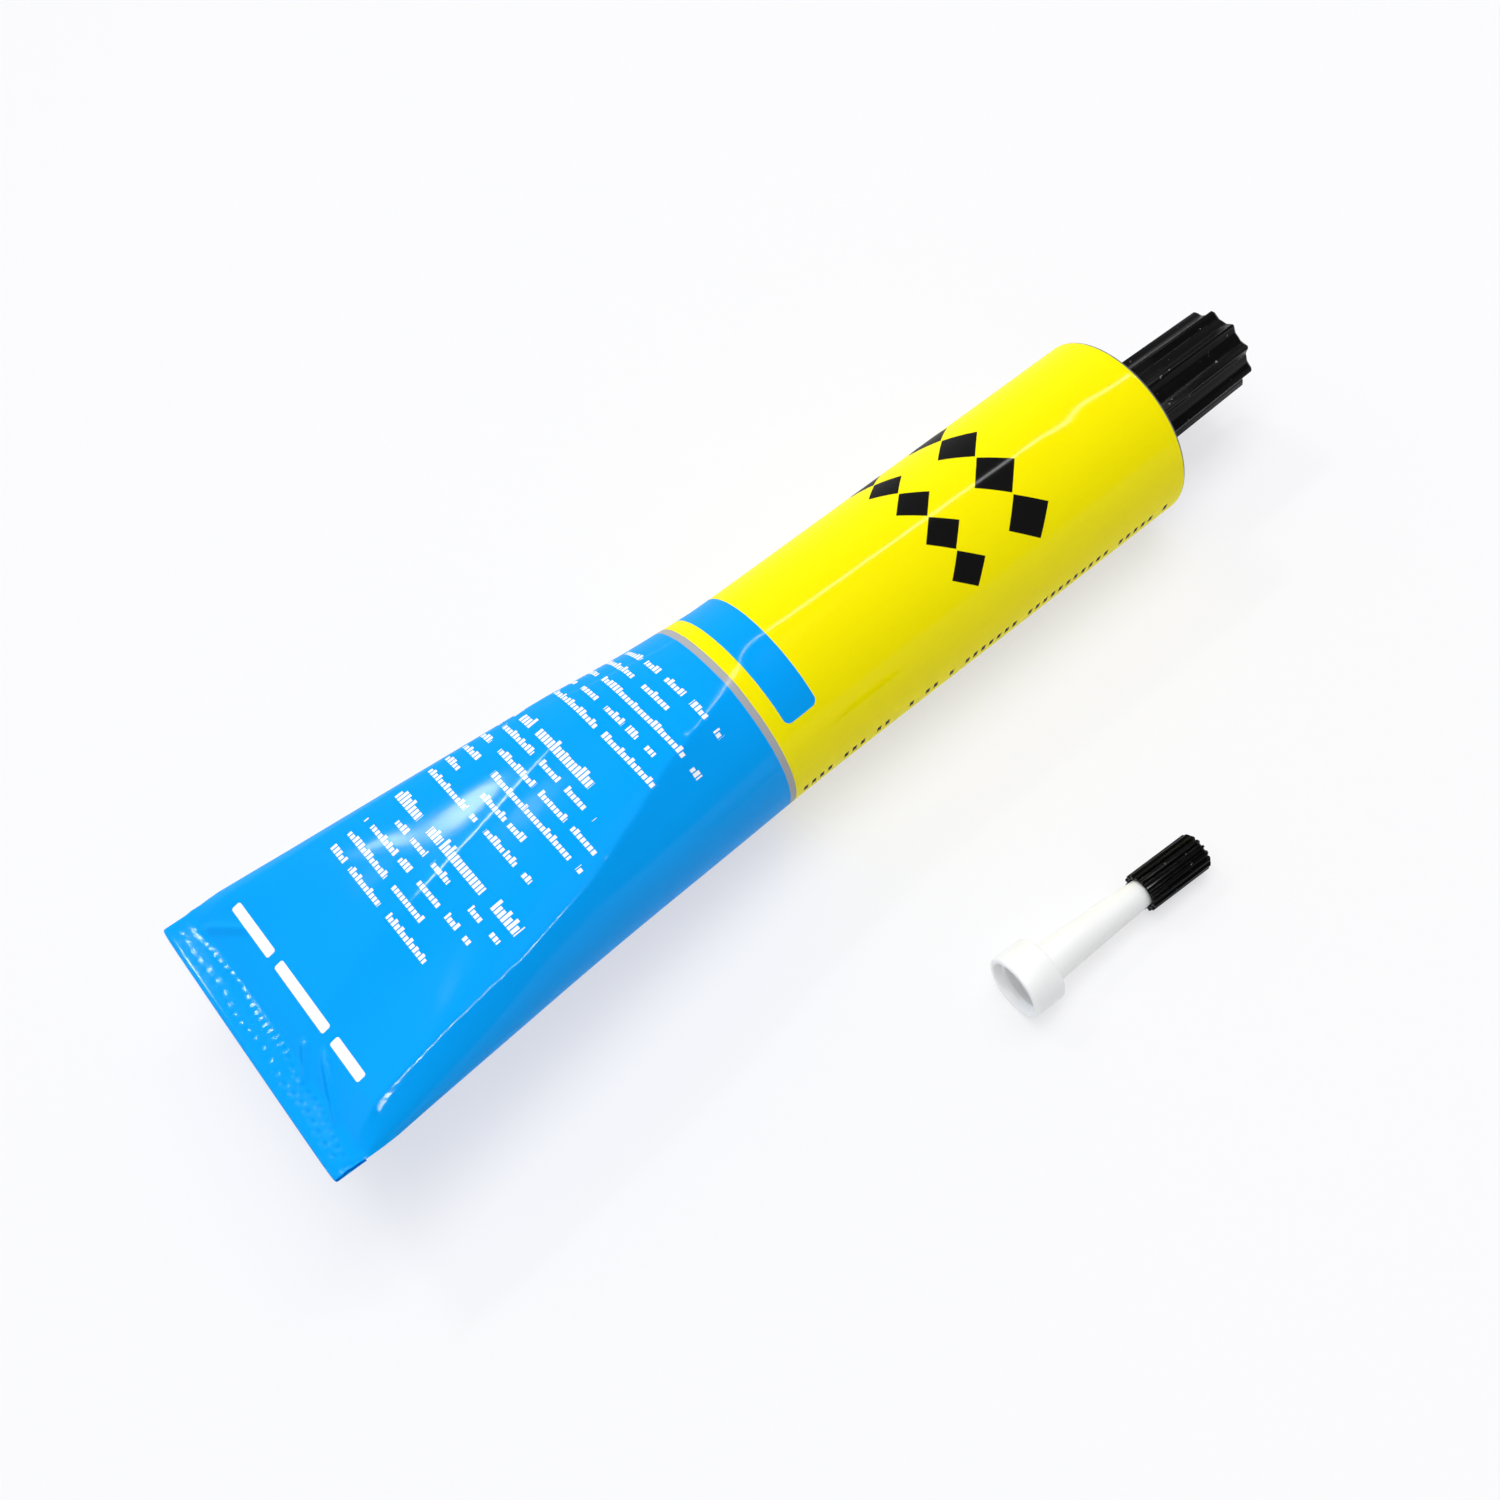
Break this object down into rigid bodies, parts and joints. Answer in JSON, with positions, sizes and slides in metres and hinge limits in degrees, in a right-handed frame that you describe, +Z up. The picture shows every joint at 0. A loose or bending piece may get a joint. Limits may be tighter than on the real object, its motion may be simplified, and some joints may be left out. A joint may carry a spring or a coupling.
{
  "type": "plastic cement tube",
  "caption": "Collapsible metal cement tube with folded tail, threaded neck and fluted screw cap, and a loose screw-on dispensing nozzle with a ribbed push-on cap.",
  "frame": {"origin": "on the table, under the middle of the box that holds the tube and the nozzle beside it", "axes": "+X along the tube from the folded tail to the cap, +Z up from the table, the nozzle lies on the -Y side"},
  "size_m": [0.1968, 0.0914, 0.0328],
  "materials": {
    "enamelled_aluminium": "gloss printed enamel, yellow towards the cap, blue towards the tail",
    "bare_aluminium": "bare foil",
    "latex": "matt natural latex",
    "cement": "thick clear amber liquid",
    "black_polyethylene": "moulded, satin, slightly scuffed",
    "liner_foam": "foamed liner",
    "natural_polyethylene": "translucent natural moulding"
  },
  "bodies": {
    "tube": {"tube_body": "enamelled_aluminium", "neck_membrane": "bare_aluminium", "tail_end_seal": "latex", "cement_fill": "cement"},
    "cap_seal": {"cap_liner": "liner_foam"},
    "cap": {"screw_cap": "black_polyethylene"},
    "nozzle": {"nozzle": "natural_polyethylene"},
    "small_cap": {"nozzle_cap": "black_polyethylene"}
  },
  "joints": [
    {"name": "cap_lift", "type": "slide", "parent": "tube", "child": "cap_seal", "axis": [1, 0, 0], "range_m": [0, 0.0046]},
    {"name": "cap_turn", "type": "hinge", "parent": "cap_seal", "child": "cap", "pos_m": [0.0754, 0.01978, 0.01631], "axis": [1, 0, 0], "range_deg": [0, 1080]},
    {"name": "nozzle_lift", "type": "slide", "parent": "tube", "child": "nozzle", "axis": [0, 0, 1], "range_m": [0, 0.05]},
    {"name": "nozzle_cap_pull", "type": "slide", "parent": "nozzle", "child": "small_cap", "axis": [0.9975, -0.0331, -0.063], "range_m": [0, 0.013]}
  ],
  "couplings": [
    {"joint": "cap_lift", "follows": "cap_turn", "m_per_rad": 0.00023873}
  ]
}
